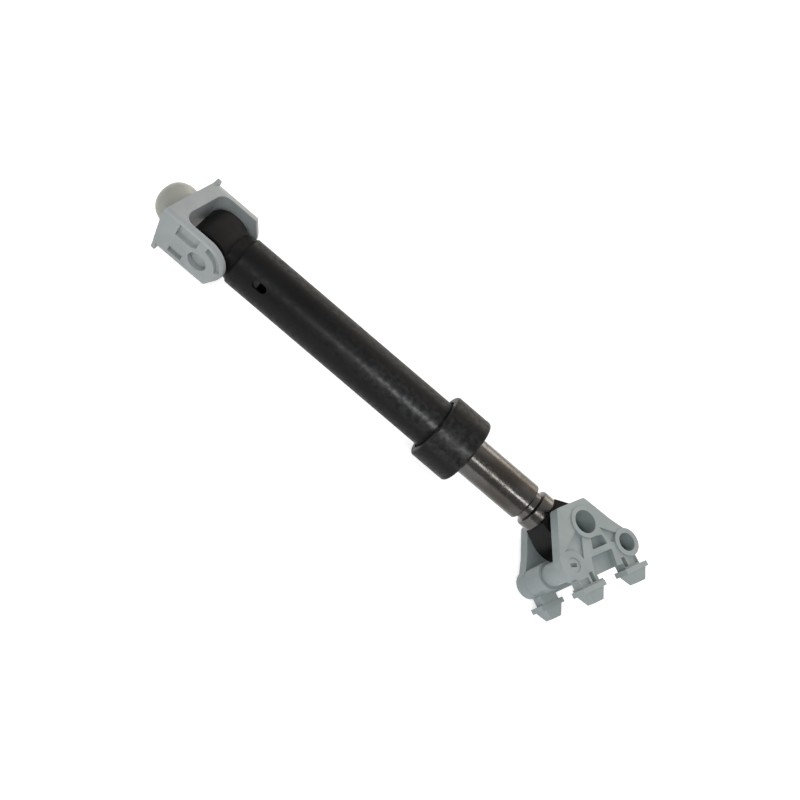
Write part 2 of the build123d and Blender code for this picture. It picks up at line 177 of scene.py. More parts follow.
class TubeSizes(bpy.types.PropertyGroup):
    outer: length("Outer diameter", "Diameter of the tube", 25.0)
    bore: length("Bore", "Inner diameter of the tube", 21.0)
    shoulder: length("Shoulder", "Where the round tube starts from the upper pivot", 13.4)
    floor: length("Floor", "Where the bore ends from the upper pivot", 18.0)
    eye: length("Eye", "Diameter of the eye's round end", 23.0)
    eye_width: length("Eye width", "Width of the eye between the clevis arms", 19.0)
    eye_hole: length("Eye hole", "Hole for the bush of the eye", 16.14)
    eye_edge: length("Eye edge", "Rounding of the eye's rims", 1.4)
    neck: length("Neck", "Height of the neck between the eye and the tube", 16.0)
    neck_start: length("Neck start", "Where the neck starts from the upper pivot", 5.0)
    neck_end: length("Neck end", "Where the neck ends from the upper pivot", 15.2)
    neck_step: length("Neck step", "How far the neck's end lies inside the tube's face", 0.4)
    shoulder_round: length("Shoulder rounding", "Rounding of the tube's shoulder", 1.5)
    flange: length("Flange", "Radius of the flange at the mouth", 14.35)
    flange_length: length("Flange length", "Length of the flange at the mouth", 1.8)
    collar_start: length("Collar start", "Where the collar starts from the seat", 151.3)
    collar_length: length("Collar length", "Length of the friction collar", 20.2)
    collar: length("Collar", "Diameter of the friction collar", 34.4)
    collar_wall: length("Collar wall", "Wall thickness of the collar", 2.75)
    collar_edge: length("Collar edge", "Rounding of the collar's edges", 1.5)
    collar_lip: length("Collar lip", "Thickness of the lip behind the flange", 3.0)
    lip_recess: length("Lip recess", "Depth of the recess in the lip's mouth", 1.1)
    seam: length("Seam", "Height of the parting lines above the collar", 0.4)
    seam_width: length("Seam width", "Width of the parting lines", 0.9)
    seam_end: length("Seam end", "How far the parting lines end before the collar's ends", 2.4)
    seam_angle: angle("Seam angle", "Turn of the first parting line round the collar", 150.8)
    cap_start: length("Cap start", "Where the collar's cap starts from the seat", 168.45)
    cap: length("Cap", "Thickness of the collar's cap", 2.95)
    cap_hole: length("Cap hole", "Radius of the hole for the rod", 9.7)
    cap_nose: length("Cap nose", "Radius of the nose round the rod", 11.6)
    cap_nose_length: length("Cap nose length", "How far the nose stands out", 1.1)
    vent_place: length("Vent place", "Middle of the vent slot from the upper pivot", 29.0)
    vent_length: length("Vent length", "Length of the vent slot", 7.6)
    vent_width: length("Vent width", "Width of the vent slot", 4.0)
    vent_angle: angle("Vent angle", "Turn of the vent slot round the tube", 147.4)


class RodSizes(bpy.types.PropertyGroup):
    root: length("Root", "Where the rod's inner end lies from the seat", 85.5)
    tip: length("Tip", "Where the rod's outer end lies from the seat", 216.8)
    outer: length("Outer diameter", "Diameter of the rod", 19.2)
    wall: length("Wall", "Wall thickness of the rod", 1.2)
    neck_depth: length("Neck depth", "Depth of the rolled neck", 2.2)
    neck_edge: length("Neck edge", "Rounding of both edges of the neck", 0.9)
    neck_slant: length("Neck slant", "Length of the neck's steep walls", 0.3)
    neck_flat: length("Neck flat", "Length of the neck's bottom", 2.9)
    bead_flat: length("Bead flat", "Length of the bead's full diameter", 4.3)
    tip_round: length("Tip rounding", "Rounding after the bead", 0.8)
    bore: length("Neck bore", "Radius of the bore in the neck", 6.0)
    bore_length: length("Neck bore length", "Length of the bore in the neck", 10.6)
    bore_cone: length("Neck bore cone", "Length of the cone inside the neck", 1.6)
    shank: length("Shank", "Length of the plastic end's shank", 8.0)
    root_width: length("Root width", "Width of the wedge at the rod", 15.6)
    root_height: length("Root height", "Height of the wedge at the rod", 12.6)
    end_eye: length("End eye", "Diameter of the eye on the rod end", 24.0)
    end_width: length("End width", "Width of the eye on the rod end", 16.0)
    end_hole: length("End hole", "Diameter of the hole in the rod end", 13.5)
    slope: angle("Wedge slope", "Slope of the wedge's sides", 21.1)
    edge: length("Edge", "Rounding of the rod end's edges", 0.6)


class FootSizes(bpy.types.PropertyGroup):
    swing: angle("Swing", "Turn of the bracket about the lower pivot at rest", 31.0)
    width: length("Width", "Distance over the outer faces of the bracket", 35.5)
    gap: length("Gap", "Distance between the inner faces of the plates", 23.9)
    proud: length("Ring height", "How far the pivot's ring stands out", 0.55)
    ring: length("Ring", "Diameter of the raised ring round the pivot", 15.2)
    hollow: length("Pivot hollow", "Diameter of the hollow in the pivot stub", 11.0)
    hollow_floor: length("Hollow floor", "Thickness of the pivot stub's end", 1.8)
    stub: length("Stub", "Diameter of the pivot stub", 13.4)
    stub_collar: length("Stub collar", "Diameter of the collar beside the rod end", 17.0)
    stub_collar_low: length("Stub collar place", "Where the collar of the stub starts", 8.3)
    side: length("Socket side", "Place of the two tubes beside the pivot", 17.2)
    drop: length("Socket drop", "Place of the two tubes below the pivot", 15.35)
    boss: length("Boss", "Diameter of the bosses over the two tubes", 13.2)
    socket: length("Socket tube", "Diameter of the socket tube", 10.6)
    pin_tube: length("Pin tube", "Diameter of the pin's tube", 13.0)
    pin: length("Pin", "Diameter of the locking pin", 6.7)
    pin_recess: length("Pin recess", "How far the pin's end lies inside the outer face", 0.3)
    core: length("Core", "Diameter of the hollow over the pin", 8.6)
    core_floor: length("Core floor", "Where the hollow over the pin ends", 3.6)
    key_length: length("Key length", "Length of the slot in the pin's end", 3.5)
    key_width: length("Key width", "Width of the slot in the pin's end", 1.7)
    key_depth: length("Key depth", "Depth of the slot in the pin's end", 1.5)
    key_turn: angle("Key turn", "Turn of the slot in the pin's end", 15.0)
    leg_place: length("Leg place", "Place of the legs beside the pivot", 14.0)
    leg_width: length("Leg width", "Width of a leg", 9.3)
    leg: length("Leg", "Thickness of a leg", 5.7)
    leg_low: length("Leg bottom", "Where a leg ends below the pivot", 26.0)
    foot_in: length("Foot place", "How far a foot's middle lies inside the outer face", 2.45)
    hook_width: length("Hook width", "Width of a foot's flange", 14.0)
    hook_depth: length("Hook depth", "Depth of a foot's flange", 8.0)
    hook: length("Hook", "Thickness of a foot's flange", 2.4)
    taper_width: length("Taper width", "Width of a tapered foot at its top", 10.4)
    taper_depth: length("Taper depth", "Depth of a tapered foot at its top", 7.4)
    tip_width: length("Tip width", "Width of a tapered foot at its tip", 6.0)
    tip_depth: length("Tip depth", "Depth of a tapered foot at its tip", 4.4)
    taper: length("Taper", "Height of a tapered foot", 5.0)
    sole: length("Sole", "Where the plate ends between the legs", 23.2)
    bar: length("Bar", "Place of the cross bar below the pivot", 15.2)
    bar_width: length("Bar width", "Width of the cross bar", 2.7)
    deep: length("Deep recess", "Depth of the recesses beside the cross bar", 3.7)
    shallow: length("Shallow recess", "Depth of the recesses beside the ridge", 1.2)
    slot_width: length("Slot width", "Width of the slot in a leg", 2.2)
    slot_shift: length("Slot place", "Place of the slot beside the leg's middle", 3.3)
    slot_top: length("Slot top", "Where the slot starts below the pivot", 20.8)
    slot_low: length("Slot bottom", "Where the slot ends below the pivot", 25.2)
    slot_depth: length("Slot depth", "Depth of the slot in a leg", 2.2)
    dish_width: length("Dish width", "Width of the dish in a leg", 5.0)
    dish_top: length("Dish top", "Where the dish starts below the pivot", 22.4)
    dish_depth: length("Dish depth", "Depth of the dish in a leg", 0.8)
    edge: length("Edge", "Rounding of the moulded edges", 0.3)


class Colours(bpy.types.PropertyGroup):
    clevis: colour("Clevis", "Natural nylon of the clevis", (156, 161, 161))
    plug: colour("Plug", "Cream plastic of the plug", (154, 156, 147))
    foot: colour("Foot", "Light grey nylon of the foot bracket", (146, 155, 155))
    black: colour("Black", "Black plastic of the tube, the collar and the rod end", (20, 20, 20))
    steel: colour("Steel", "Drawn steel of the rod", (84, 82, 80))
    rubber: colour("Rubber", "Rubber of the bush and the bump stop", (38, 38, 38))
    foam: colour("Foam", "Greased foam of the friction lining", (150, 132, 96))


class StageSettings(bpy.types.PropertyGroup):
    key_power: FloatProperty(name="Key power", description="Power of the strip light over the camera",
                             default=5.2, min=0.0, unit="POWER")
    back_power: FloatProperty(name="Back power", description="Power of the warm light at the back",
                              default=3.6, min=0.0, unit="POWER")
    world: FloatProperty(name="World", description="Strength of the plain surroundings",
                         default=0.52, min=0.0)
    floor_lift: FloatProperty(name="Floor lift", description="Light added to the floor as it is seen",
                              default=0.6, min=0.0)
    lens: FloatProperty(name="Lens", description="Focal length of the camera", default=43.609 * MM,
                        unit="CAMERA", min=0.001)


def sizes_in_mm(group):
    """The values of a settings group, its lengths in millimetres."""
    values = {}
    for item in group.bl_rna.properties:
        if item.identifier in ("rna_type", "name"):
            continue
        value = getattr(group, item.identifier)
        values[item.identifier] = value / MM if item.unit == "LENGTH" else value
    return SimpleNamespace(**values)


class Shape:
    """A closed shape in millimetres that is made with bmesh operators."""

    def __init__(self):
        self.mesh = bmesh.new()

    @staticmethod
    def outline(points):
        """A flat face on the XY plane. A point is (x, y) or (x, y, length cut off to round its corner)."""
        shape = Shape()
        mesh = shape.mesh
        corners = [mesh.verts.new((p[0], p[1], 0.0)) for p in points]
        mesh.faces.new(corners)
        for corner, point in zip(corners, points):
            if len(point) > 2:
                bmesh.ops.bevel(mesh, geom=[corner], offset=point[2], offset_type="OFFSET", segments=8,
                                profile=0.5, affect="VERTICES", material=-1)
        return shape

    @staticmethod
    def stack(layers):
        """A closed shape through layers of (points, height), all with the same number of points."""
        shape = Shape()
        mesh = shape.mesh
        rings = [[mesh.verts.new((x, y, height)) for x, y in points] for points, height in layers]
        for lower, upper in zip(rings, rings[1:]):
            for i, corner in enumerate(lower):
                mesh.faces.new((lower[i - 1], corner, upper[i], upper[i - 1]))
        mesh.faces.new(rings[0][::-1])
        mesh.faces.new(rings[-1])
        bmesh.ops.recalc_face_normals(mesh, faces=mesh.faces)
        return shape

    @staticmethod
    def prism(points, low, high):
        """An outline made into a block from one height to another."""
        shape = Shape.outline(points)
        mesh = shape.mesh
        bmesh.ops.translate(mesh, verts=mesh.verts, vec=(0.0, 0.0, low))
        pushed = bmesh.ops.extrude_face_region(mesh, geom=mesh.faces[:])["geom"]
        top = [part for part in pushed if isinstance(part, bmesh.types.BMVert)]
        bmesh.ops.translate(mesh, verts=top, vec=(0.0, 0.0, high - low))
        bmesh.ops.recalc_face_normals(mesh, faces=mesh.faces)
        return shape

    @staticmethod
    def turned(points, steps=96):
        """A shape turned about the X axis from an outline of (x, radius)."""
        shape = Shape.outline(points)
        mesh = shape.mesh
        bmesh.ops.delete(mesh, geom=mesh.faces[:], context="FACES_ONLY")
        on_axis = [edge for edge in mesh.edges if all(abs(v.co.y) < 1e-6 for v in edge.verts)]
        bmesh.ops.delete(mesh, geom=on_axis, context="EDGES")
        bmesh.ops.spin(mesh, geom=mesh.verts[:] + mesh.edges[:], cent=(0.0, 0.0, 0.0),
                       axis=(1.0, 0.0, 0.0), angle=math.tau, steps=steps, use_merge=True)
        bmesh.ops.remove_doubles(mesh, verts=mesh.verts, dist=MERGE)
        bmesh.ops.recalc_face_normals(mesh, faces=mesh.faces)
        return shape

    @staticmethod
    def column(x, y, radius, low, high, steps=64):
        """A round column along Z."""
        shape = Shape.turned([(low, 0.0), (high, 0.0), (high, radius), (low, radius)], steps)
        turn = Matrix(((0, 1, 0, x), (0, 0, 1, y), (1, 0, 0, 0), (0, 0, 0, 1)))
        return shape.moved(turn)

    def moved(self, matrix):
        """The shape after a transform."""
        bmesh.ops.transform(self.mesh, matrix=matrix, verts=self.mesh.verts)
        if matrix.determinant() < 0:
            bmesh.ops.reverse_faces(self.mesh, faces=self.mesh.faces)
        return self

    def copy(self):
        """A copy of the shape."""
        twin = Shape()
        twin.mesh = self.mesh.copy()
        return twin

    def loose(self, name):
        """A throw-away object of the shape."""
        mesh = bpy.data.meshes.new(name)
        self.mesh.to_mesh(mesh)
        self.mesh.free()
        thing = bpy.data.objects.new(name, mesh)
        bpy.context.scene.collection.objects.link(thing)
        return thing

    def changed(self, operation, tools):
        """The shape after it is joined with the tools or cut by them."""
        base = self.loose("base")
        others = [tool.loose("tool") for tool in tools]
        for other in others:
            step = base.modifiers.new("step", "BOOLEAN")
            step.operation = operation
            step.solver = "EXACT"
            step.object = other
        graph = bpy.context.evaluated_depsgraph_get()
        self.mesh = bmesh.new()
        self.mesh.from_mesh(base.evaluated_get(graph).to_mesh())
        for thing in (base, *others):
            old = thing.data
            bpy.data.objects.remove(thing)
            bpy.data.meshes.remove(old)
        bmesh.ops.remove_doubles(self.mesh, verts=self.mesh.verts, dist=MERGE)
        bmesh.ops.dissolve_limit(self.mesh, angle_limit=FLAT, verts=self.mesh.verts,
                                 edges=self.mesh.edges, delimit={"NORMAL"})
        if not self.mesh.faces:
            raise RuntimeError("a shape has no faces left after it was cut or joined")
        return self

    def plus(self, *tools):
        return self.changed("UNION", tools)

    def minus(self, *tools):
        return self.changed("DIFFERENCE", tools)


def box(x0, x1, y0, y1, z0, z1):
    """A block between two corners."""
    return Shape.prism([(x0, y0), (x1, y0), (x1, y1), (x0, y1)], z0, z1)


def rectangle(width, depth):
    """The corners of a rectangle about the centre."""
    x, y = width / 2, depth / 2
    return [(-x, -y), (x, -y), (x, y), (-x, y)]


def block(x, width, y0, y1, z0, z1):
    """A block about a place on X."""
    return box(x - width / 2, x + width / 2, y0, y1, z0, z1)


def cross(shape, x):
    """Turns a shape made along Z so that it lies along Y at a place on the damper."""
    turn = Matrix(((1, 0, 0, x), (0, 0, 1, 0), (0, 1, 0, 0), (0, 0, 0, 1)))
    return shape.moved(turn)


def on_pivot(shape):
    """Turns a shape made along X so that it lies along the upper pivot."""
    return shape.moved(Matrix(((0, 1, 0, UPPER_X), (1, 0, 0, 0), (0, 0, 1, 0), (0, 0, 0, 1))))


def along(shape):
    """Turns a shape made along Z so that it lies along X."""
    return shape.moved(Matrix(((0, 0, 1, 0), (0, 1, 0, 0), (-1, 0, 0, 0), (0, 0, 0, 1))))


def finished(shape, name, body, node, material, edge=0.0):
    """Makes the shape a piece of the damper that rides on a body and stands for a node."""
    bmesh.ops.scale(shape.mesh, vec=(MM, MM, MM), verts=shape.mesh.verts)
    mesh = bpy.data.meshes.new(name)
    shape.mesh.to_mesh(mesh)
    shape.mesh.free()
    mesh.shade_smooth()
    mesh.set_sharp_from_angle(angle=SHARP)
    mesh.materials.append(material)
    piece = bpy.data.objects.new(name, mesh)
    bpy.context.scene.collection.objects.link(piece)
    if edge > 0:
        rounding = piece.modifiers.new("Edges", "BEVEL")
        rounding.width = edge * MM
        rounding.segments = 3
        rounding.limit_method = "ANGLE"
        rounding.angle_limit = SHARP
        rounding.use_clamp_overlap = True
        rounding.harden_normals = True
    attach(piece, body)
    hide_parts(node)
    return piece


def coat(node, material):
    """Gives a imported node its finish."""
    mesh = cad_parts[node].data
    mesh.materials.clear()
    mesh.materials.append(material)


class Value:
    """A node's output that can be used in sums."""

    def __init__(self, finish, socket):
        self.finish = finish
        self.socket = socket

    def _maths(self, operation, first, second):
        settings = {"operation": operation}
        return self.finish.node("ShaderNodeMath", settings, {0: first, 1: second})[0]

    def __add__(self, other):
        return self._maths("ADD", self, other)

    def __sub__(self, other):
        return self._maths("SUBTRACT", self, other)

    def __rsub__(self, other):
        return self._maths("SUBTRACT", other, self)

    def __mul__(self, other):
        return self._maths("MULTIPLY", self, other)


class Outputs:
    """The outputs of a node by name or number."""

    def __init__(self, finish, node):
        self.finish = finish
        self.node = node

    def __getitem__(self, key):
        return Value(self.finish, self.node.outputs[key])


class Finish:
    """The node tree of a material or a world."""

    def __init__(self, name, owner=bpy.data.materials):
        self.material = owner.new(name)
        self.material.use_nodes = True
        self.tree = self.material.node_tree
        self.tree.nodes.clear()

    def node(self, kind, settings, inputs):
        """Adds a node: its settings first, then the values or links of its inputs."""
        node = self.tree.nodes.new(kind)
        for key, value in settings.items():
            if key == "stops":
                self._stops(node, value)
            else:
                setattr(node, key, value)
        for key, value in inputs.items():
            if isinstance(value, Value):
                self.tree.links.new(value.socket, node.inputs[key])
            else:
                node.inputs[key].default_value = value
        return Outputs(self, node)

    def _stops(self, node, stops):
        elements = node.color_ramp.elements
        while len(elements) < len(stops):
            elements.new(0.5)
        for element, (place, shade) in zip(elements, stops):
            element.position = place
            element.color = (*shade, 1.0)

    def place(self):
        """Places on the object in metres."""
        return self.node("ShaderNodeTexCoord", {}, {})["Object"]

    def noise(self, scale, detail=3.0, stretch=(1.0, 1.0, 1.0)):
        """A cloudy pattern from 0 to 1."""
        where = self.node("ShaderNodeMapping", {"vector_type": "POINT"},
                          {"Vector": self.place(), "Scale": stretch})["Vector"]
        return self.node("ShaderNodeTexNoise", {}, {"Vector": where, "Scale": scale, "Detail": detail})["Fac"]

    def axes(self, vector):
        """The X, Y and Z of a vector."""
        return self.node("ShaderNodeSeparateXYZ", {}, {"Vector": vector})

    def ramp(self, value, low, high):
        """The value spread from 0 to 1 between two limits."""
        inputs = {"Value": value, "From Min": low, "From Max": high}
        return self.node("ShaderNodeMapRange", {"interpolation_type": "SMOOTHSTEP"}, inputs)[0]

    def blend(self, factor, first, second):
        """A colour between two colours."""
        inputs = {"Factor": factor, 6: first, 7: second}
        return self.node("ShaderNodeMix", {"data_type": "RGBA"}, inputs)[2]

    def bump(self, height, distance, strength=1.0, base=None):
        inputs = {"Height": height, "Distance": distance * MM, "Strength": strength}
        if base is not None:
            inputs["Normal"] = base
        return self.node("ShaderNodeBump", {}, inputs)["Normal"]

    def surface(self, **values):
        """Ends the tree with the main shader, its inputs by name with _ for spaces."""
        inputs = {key.replace("_", " "): value for key, value in values.items()}
        shader = self.node("ShaderNodeBsdfPrincipled", {}, inputs)
        self.node("ShaderNodeOutputMaterial", {}, {"Surface": shader["BSDF"]})
        return self.material


def shade(tint, factor):
    """A colour made darker or lighter, with its alpha."""
    return (*(min(1.0, channel * factor) for channel in tint), 1.0)


def moulded_nylon(name, tint, gloss=0.42, glow=0.2):
    """Moulded nylon: faint flow marks, fine grain and a soft sheen."""
    finish = Finish(name)
    clouds = finish.noise(90.0, 4.0)
    flow = finish.noise(260.0, 3.0, (0.35, 1.0, 1.0))
    grain = finish.noise(3200.0, 2.0)
    base = finish.blend(finish.ramp(clouds, 0.3, 0.7), shade(tint, 0.93), shade(tint, 1.05))
    base = finish.blend(finish.ramp(flow, 0.62, 0.8) * 0.4, base, shade(tint, 0.86))
    waves = finish.bump(flow, 0.05, 0.5)
    return finish.surface(Base_Color=base, Roughness=flow * 0.16 + (gloss - 0.08),
                          Subsurface_Weight=glow, Subsurface_Radius=(1.0, 1.0, 1.0), Subsurface_Scale=0.002,
                          Normal=finish.bump(grain, 0.012, 0.5, waves))


def black_plastic(name, tint, gloss, grease_and_sheen=0.0):
    """Black moulded plastic with fine grain, and a glossy coat that grows with X: grease towards the collar,
    and a painted sheen kept to the upper front side where the highlight falls.
    """
    finish = Finish(name)
    mottle = finish.noise(420.0, 4.0)
    clouds = finish.noise(60.0, 3.0, (0.3, 1.0, 1.0))
    grain = finish.noise(2600.0, 3.0)
    base = finish.blend(finish.ramp(clouds, 0.3, 0.7), shade(tint, 0.75), shade(tint, 1.25))
    skin = finish.bump(mottle, 0.08, 0.45)
    place = finish.axes(finish.place())
    # Painted sheen: the coat is kept to the upper side towards -Y, where the key light's highlight falls, and
    # grows towards the collar
    side = finish.ramp(place["Y"], *PAINTED_SHEEN_Y) * finish.ramp(place["Z"], *PAINTED_SHEEN_Z)
    film = finish.ramp(place["X"], *GREASE_AND_SHEEN_X) * side * (finish.ramp(mottle, 0.35, 0.7) * 0.75 + 0.25)
    return finish.surface(Base_Color=base, Roughness=finish.ramp(mottle, 0.3, 0.75) * 0.2 + gloss,
                          Specular_IOR_Level=0.12, Coat_Weight=film * grease_and_sheen, Coat_Roughness=0.3,
                          Normal=finish.bump(grain, 0.02, 0.5, skin))


def drawn_steel(name, tint):
    """Drawn steel tube: fine lines along it, small pits and a thin film of grease."""
    finish = Finish(name)
    lines = finish.noise(900.0, 3.0, (0.04, 1.0, 1.0))
    pits = finish.noise(700.0, 4.0)
    film = finish.noise(110.0, 4.0, (0.4, 1.0, 1.0))
    warm = (tint[0] * 1.02, tint[1] * 0.97, tint[2] * 0.9)
    base = finish.blend(finish.ramp(film, 0.35, 0.7), shade(tint, 1.15), shade(warm, 0.7))
    base = finish.blend(finish.ramp(lines, 0.55, 0.8) * 0.5, base, shade(tint, 0.6))
    skin = finish.bump(lines, 0.01, 0.4)
    rough = finish.ramp(pits, 0.4, 0.75) * 0.2 + finish.ramp(film, 0.4, 0.8) * 0.12 + 0.14
    return finish.surface(Base_Color=base, Metallic=1.0, Roughness=rough,
                          Normal=finish.bump(pits, 0.05, 0.5, skin))


def soft_rubber(name, tint):
    """Dull black rubber with a dusty bloom."""
    finish = Finish(name)
    bloom = finish.noise(300.0, 4.0)
    grain = finish.noise(2500.0, 2.0)
    base = finish.blend(finish.ramp(bloom, 0.4, 0.8), shade(tint, 0.8), shade(tint, 1.6))
    return finish.surface(Base_Color=base, Roughness=bloom * 0.2 + 0.65,
                          Normal=finish.bump(grain, 0.03, 0.6))


def greased_foam(name, tint):
    """Open-cell foam, darker where grease has soaked in."""
    finish = Finish(name)
    cells = finish.node("ShaderNodeTexVoronoi", {}, {"Vector": finish.place(), "Scale": 1400.0})["Distance"]
    soaked = finish.noise(150.0, 3.0)
    base = finish.blend(finish.ramp(soaked, 0.35, 0.7), shade(tint, 1.0), shade(tint, 0.55))
    return finish.surface(Base_Color=base, Roughness=soaked * -0.3 + 0.95,
                          Normal=finish.bump(cells, 0.25, 0.8))


def pale_floor(name, lift):
    """A plain pale floor that is seen as white, with the damper's shadow on it."""
    finish = Finish(name)
    path = finish.node("ShaderNodeLightPath", {}, {})
    seen = path["Is Camera Ray"] + path["Is Glossy Ray"] + path["Is Transmission Ray"]
    seen = finish.node("ShaderNodeMath", {"operation": "MINIMUM"}, {0: seen, 1: 1.0})[0]
    paper = finish.node("ShaderNodeBsdfDiffuse", {}, {"Color": (0.8, 0.8, 0.8, 1.0)})["BSDF"]
    glow = finish.node("ShaderNodeEmission", {}, {"Color": WHITE, "Strength": seen * lift})[0]
    both = finish.node("ShaderNodeAddShader", {}, {0: paper, 1: glow})[0]
    finish.node("ShaderNodeOutputMaterial", {}, {"Surface": both})
    return finish.material


def surroundings(name, level):
    """Plain surroundings, warmer and brighter towards the back, which are seen as white."""
    finish = Finish(name, bpy.data.worlds)
    path = finish.node("ShaderNodeLightPath", {}, {})
    where = finish.node("ShaderNodeTexCoord", {}, {})["Generated"]
    back = finish.ramp(finish.axes(where)["Y"], -0.3, 0.9)
    tint = finish.blend(back, (0.97, 0.98, 1.0, 1.0), (1.0, 0.94, 0.87, 1.0))
    tint = finish.blend(path["Is Camera Ray"], tint, WHITE)
    power = (back * 0.7 + 0.85) * level
    mirrored = path["Is Glossy Ray"] + path["Is Transmission Ray"]
    power = power + (back * 0.5 + 0.5 - power) * mirrored
    power = power + (1 - power) * path["Is Camera Ray"]
    glow = finish.node("ShaderNodeBackground", {}, {"Color": tint, "Strength": power})[0]
    finish.node("ShaderNodeOutputWorld", {}, {"Surface": glow})
    return finish.material


def arc(x, y, radius, start, end, steps):
    """Points along a circle, its angles in degrees."""
    turns = [math.radians(start + (end - start) * i / steps) for i in range(steps + 1)]
    return [(x + radius * math.cos(turn), y + radius * math.sin(turn)) for turn in turns]


def on_seat(s):
    """The lean of the tub plug's seat about the origin."""
    return Matrix.Rotation(-s.seat_turn, 4, "Z") @ Matrix.Rotation(-s.seat_tip, 4, "Y")


def arm_outline(s, inset):
    """The side view of the clevis behind and round its pivot, with a heel below."""
    radius = s.arm_end / 2 - inset
    back = UPPER_X - s.width
    heel = UPPER_X + radius * math.tan(s.heel)
    start = 2 * math.degrees(s.heel) - 90
    return [(back, -radius), (heel, -radius), *arc(UPPER_X, 0.0, radius, start, 90, 40), (back, radius)]


def arm_pockets(s):
    """The recesses round the boss in the outer face of the arm towards -Y."""
    low, high = -s.width, s.pocket - s.width / 2
    top = s.arm_end / 2
    reach = (low - OVER, high + OVER)
    boss = Shape.column(UPPER_X, 0.0, s.boss / 2, *reach)
    before = box(-top, s.pocket_start, -top, top, *reach)
    under = box(-top, UPPER_X * 2, -top, s.upper_low, *reach)
    beyond = box(s.upper_end, UPPER_X * 2, -top, top, *reach)
    upper = Shape.prism(arm_outline(s, s.rim), low, high).minus(before, under, beyond, boss.copy())
    lower = box(s.pocket_start, s.lower_end, -s.lower_low, -s.lower_top, low, high).minus(boss)
    outer = top - s.rim
    start = math.degrees(math.asin(s.groove_rib / outer))
    outside = arc(UPPER_X, 0.0, outer, start, 90 - start, 16)
    inside = arc(UPPER_X, 0.0, outer - s.groove, 90 - start, start, 16)
    return [cross(shape, 0.0) for shape in (upper, lower, Shape.prism(outside + inside, low, high))]


def clevis_side(s):
    """The half of the clevis towards -Y before the fork is cut, with its recesses."""
    layers = []
    for x, y in arc(0.0, 0.0, s.arm_round, 90, 0, 8):
        layers.append((arm_outline(s, s.arm_round - x), s.arm_round - y - s.width / 2))
    layers.append((arm_outline(s, 0.0), s.edge))
    return cross(Shape.stack(layers), 0.0).minus(*arm_pockets(s))


def fork_gap(s):
    """The space between the arms, with a floor along the seat and round corners."""
    inner = s.width / 2 - s.arm
    lean = math.tan(s.seat_turn)
    floor = s.bridge / math.cos(s.seat_turn)
    near = s.fork_round / math.tan((math.pi / 2 - s.seat_turn) / 2)
    far = s.fork_round / math.tan((math.pi / 2 + s.seat_turn) / 2)
    reach = UPPER_X + s.arm_end
    rise = lean * inner
    corners = [(floor - rise, -inner, near), (reach, -inner), (reach, inner), (floor + rise, inner, far)]
    return Shape.prism(corners, -s.width, s.width)


def ears(s):
    """The two thin ears at opposite corners of the seat."""
    points = [(10.0, 10.0), (14.2, 13.2), (16.4, 14.4), (17.6, 13.4), (17.3, 8.0)]
    upright = Matrix(((0, 0, 1, 0), (1, 0, 0, 0), (0, 1, 0, 0), (0, 0, 0, 1)))
    first = Shape.prism(points, 0.0, s.ear).moved(upright)
    second = first.copy().moved(Matrix.Rotation(math.pi, 4, "X"))
    return [first.moved(on_seat(s)), second.moved(on_seat(s))]


def clevis_shape(s):
    """Fork with a leaning seat, two like arms with recesses and two ears."""
    side = clevis_side(s)
    body = side.copy().moved(Matrix.Rotation(math.pi, 4, "X")).plus(side).minus(fork_gap(s))
    inner = (s.width - s.arm) / 2
    bosses = []
    for start, end in ((-inner, -s.eye_gap / 2), (s.eye_gap / 2, inner)):
        bosses.append(cross(Shape.column(0.0, 0.0, s.boss / 2, start, end, 96), UPPER_X))
    behind = box(-2 * s.width, 0.0, -s.width, s.width, -s.width, s.width).moved(on_seat(s))
    hole = cross(Shape.column(0.0, 0.0, s.hole / 2, -s.width, s.width), UPPER_X)
    return body.plus(*bosses, *ears(s)).minus(behind, hole)


def plug_shape(s):
    """Domed plug with a shank in the clevis."""
    radius, flat = s.plug / 2, s.plug_flat / 2
    points = [(s.shank_length, 0.0), (s.shank_length, s.shank / 2, 0.6), (0.0, s.shank / 2),
              (0.0, radius, 0.5)]
    for x, y in arc(0.0, 0.0, 1.0, 0, 90, 16):
        points.append((-s.plug_skirt - s.plug_dome * y, flat + (radius - flat) * x))
    points.append((-s.plug_skirt - s.plug_dome, 0.0))
    return Shape.turned(points).moved(on_seat(s))


def pin_shape(s):
    """Pin through both arms, a little short of their outer faces."""
    reach = s.width / 2 - s.pin_recess
    radius = s.pin / 2
    return on_pivot(Shape.turned([(-reach, 0.0), (reach, 0.0), (reach, radius, 0.7), (-reach, radius, 0.7)]))


class DAMPER_OT_clevis(bpy.types.Operator):
    """Makes the clevis, its domed plug and its pivot pin"""
    bl_idname = "damper.clevis"
    bl_label = "Clevis"

    def execute(self, context):
        s = sizes_in_mm(context.scene.damper_clevis)
        tints = context.scene.damper_colours
        nylon = moulded_nylon("natural_nylon", tints.clevis)
        cream = moulded_nylon("cream_plastic", tints.plug, 0.34, 0.15)
        finished(clevis_shape(s), "clevis_fork", "clevis", "upper_clevis", nylon, s.edge)
        finished(plug_shape(s), "tub_plug_dome", "clevis", "tub_plug", cream)
        finished(pin_shape(s), "pivot_pin", "clevis", "upper_pivot_pin", nylon)
        return {"FINISHED"}


def neck_shape(s):
    """The neck that widens from the eye, with square sides, to the round tube."""
    layers = []
    end = s.outer / 2 - s.neck_step
    for part in (step / 8 for step in range(9)):
        width = s.eye_width / 2 + (end - s.eye_width / 2) * part ** 2
        height = s.neck / 2 + (end - s.neck / 2) * part ** 2
        power = SQUARE + (1.0 - SQUARE) * part
        ring = [(-math.copysign(abs(y) ** power, y) * height, math.copysign(abs(x) ** power, x) * width)
                for x, y in arc(0.0, 0.0, 1.0, 4.5, 355.5, 39)]
        layers.append((ring, UPPER_X + s.neck_start + (s.neck_end - s.neck_start) * part))
    return along(Shape.stack(layers))


